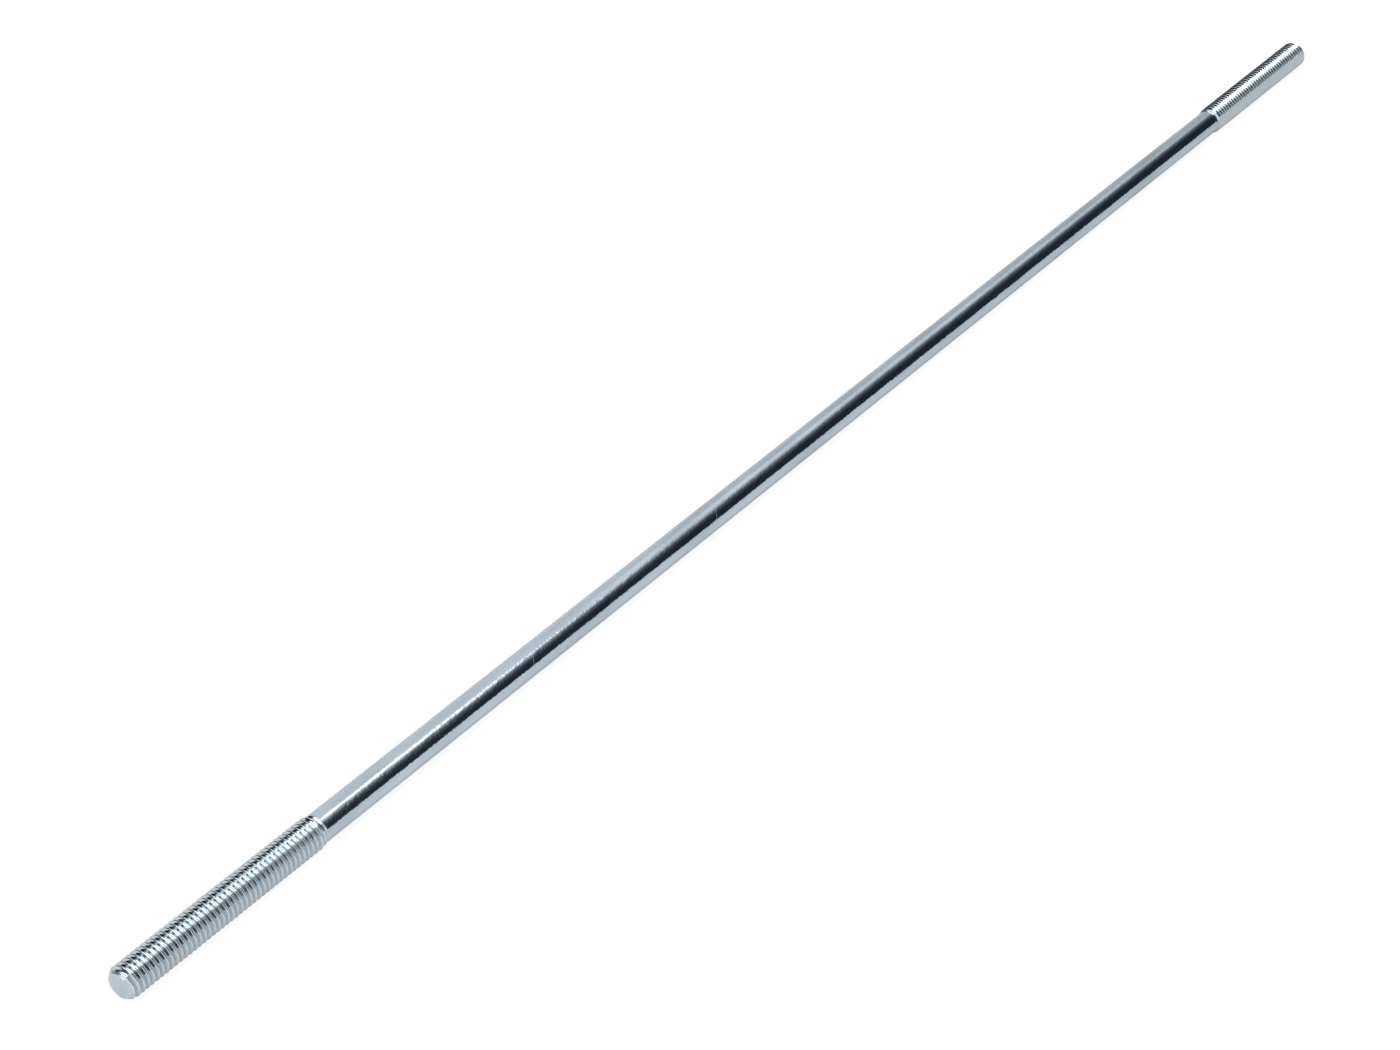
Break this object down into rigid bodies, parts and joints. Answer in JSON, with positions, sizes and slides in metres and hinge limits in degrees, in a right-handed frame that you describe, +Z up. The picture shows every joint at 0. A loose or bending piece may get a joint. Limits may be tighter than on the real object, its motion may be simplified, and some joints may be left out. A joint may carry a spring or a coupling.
{
  "type": "threaded rod",
  "caption": "Bright zinc-plated steel rod with a plain shank and a rolled thread on each end.",
  "frame": {"origin": "centre of the flat near end face", "axes": "+X along the rod's axis towards the far end, +Z up as the rod lies"},
  "size_m": [0.381, 0.006, 0.006],
  "materials": {
    "zinc_plated_steel": "bright zinc plating with a faint blue tint, smooth on the drawn shank and satin on the thread"
  },
  "bodies": {
    "root": {"threaded_rod": "zinc_plated_steel"}
  },
  "joints": []
}
